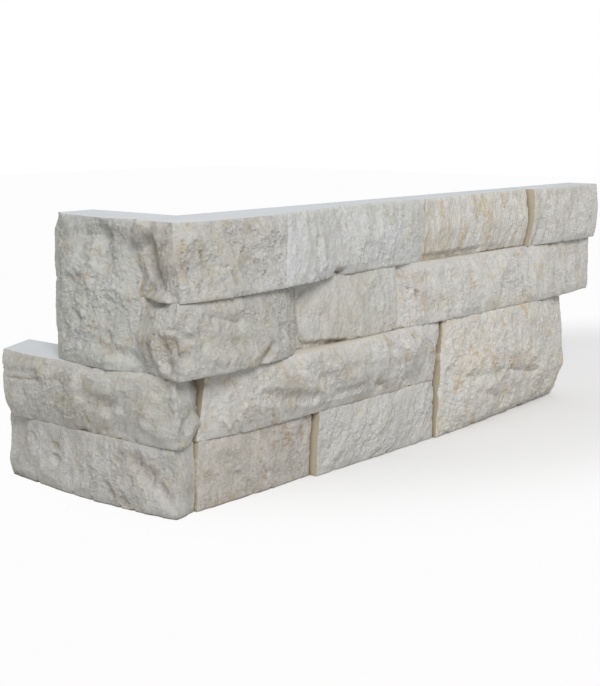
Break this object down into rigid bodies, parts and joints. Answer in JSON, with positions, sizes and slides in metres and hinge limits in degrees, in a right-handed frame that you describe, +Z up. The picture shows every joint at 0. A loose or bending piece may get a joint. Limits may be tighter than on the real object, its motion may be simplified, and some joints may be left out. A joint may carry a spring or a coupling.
{
  "type": "stone cladding corner piece",
  "caption": "L-shaped corner unit of split-face stone cladding, with flat sawn backs, beds and ends, and stepped leg ends that tooth into the next unit.",
  "frame": {"origin": "foot of the inside corner, where the two sawn back planes meet the bottom bed", "axes": "+Z up, +X along the long leg away from the corner, +Y along the short leg away from the corner; the split faces look to -Y and -X"},
  "size_m": [0.4295, 0.156, 0.15],
  "materials": {
    "ivory_limestone": "split face, matte",
    "ochre_limestone": "split face, matte"
  },
  "bodies": {
    "root": {"bottom_return_strip": "ivory_limestone", "second_return_strip": "ivory_limestone", "tall_return_block": "ivory_limestone", "bottom_near_strip": "ivory_limestone", "bottom_far_strip": "ivory_limestone", "tall_end_block": "ochre_limestone", "second_near_strip": "ivory_limestone", "third_corner_strip": "ivory_limestone", "third_middle_strip": "ivory_limestone", "third_end_strip": "ivory_limestone", "top_corner_strip": "ivory_limestone", "top_middle_strip": "ivory_limestone", "top_far_strip": "ochre_limestone", "top_end_strip": "ivory_limestone"}
  },
  "joints": []
}
